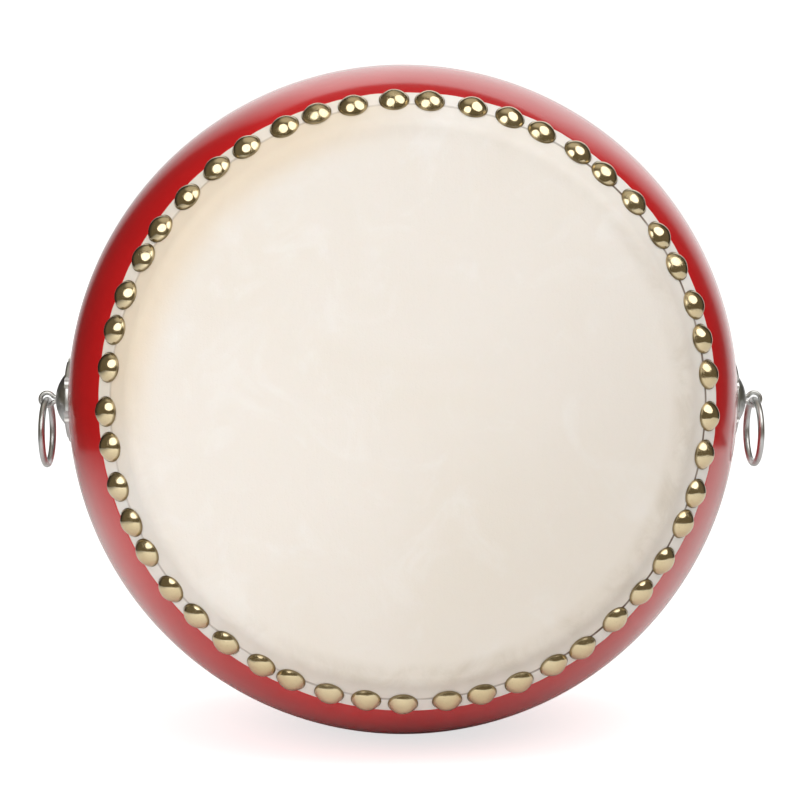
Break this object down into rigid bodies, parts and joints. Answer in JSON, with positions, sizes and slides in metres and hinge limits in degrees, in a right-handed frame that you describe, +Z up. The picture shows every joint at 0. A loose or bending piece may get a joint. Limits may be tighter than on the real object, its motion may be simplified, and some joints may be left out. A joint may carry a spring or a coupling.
{
  "type": "barrel drum",
  "caption": "Red lacquered barrel drum lying on its belly, hide heads held by brass tacks, with two swinging carrying rings.",
  "frame": {"origin": "on the floor under the middle of the drum's axis: bounding box centre in X and Y, belly's lowest line in Z", "axes": "+Y along the drum's axis from front head to rear head, +Z up, +X towards the right-hand carrying ring as the front head is faced"},
  "size_m": [0.4306, 0.26, 0.389],
  "materials": {
    "lacquered_wood": "gloss",
    "drum_hide": "satin",
    "tack_brass": "gloss",
    "ring_steel": "gloss",
    "washer_steel": "satin"
  },
  "bodies": {
    "drum": {"stave_01": "lacquered_wood", "stave_02": "lacquered_wood", "stave_03": "lacquered_wood", "stave_04": "lacquered_wood", "stave_05": "lacquered_wood", "stave_06": "lacquered_wood", "stave_07": "lacquered_wood", "stave_08": "lacquered_wood", "stave_09": "lacquered_wood", "stave_10": "lacquered_wood", "stave_11": "lacquered_wood", "stave_12": "lacquered_wood", "stave_13": "lacquered_wood", "stave_14": "lacquered_wood", "stave_15": "lacquered_wood", "stave_16": "lacquered_wood", "stave_17": "lacquered_wood", "stave_18": "lacquered_wood", "stave_19": "lacquered_wood", "stave_20": "lacquered_wood", "front_head": "drum_hide", "rear_head": "drum_hide", "front_head_tacks": "tack_brass", "rear_head_tacks": "tack_brass", "left_ring_plate": "ring_steel", "left_plate_nails": "ring_steel", "left_ring_eye": "ring_steel", "left_pin_washer": "washer_steel", "right_ring_plate": "ring_steel", "right_plate_nails": "ring_steel", "right_ring_eye": "ring_steel", "right_pin_washer": "washer_steel"},
    "left_ring": {"left_pull_ring": "ring_steel"},
    "right_ring": {"right_pull_ring": "ring_steel"}
  },
  "joints": [
    {"name": "left_ring_swing", "type": "hinge", "parent": "drum", "child": "left_ring", "pos_m": [-0.21011, 0, 0.19365], "axis": [0, 1, 0], "range_deg": [-24.5, 204]},
    {"name": "right_ring_swing", "type": "hinge", "parent": "drum", "child": "right_ring", "pos_m": [0.21011, 0, 0.19365], "axis": [0, -1, 0], "range_deg": [-24.5, 204]}
  ]
}
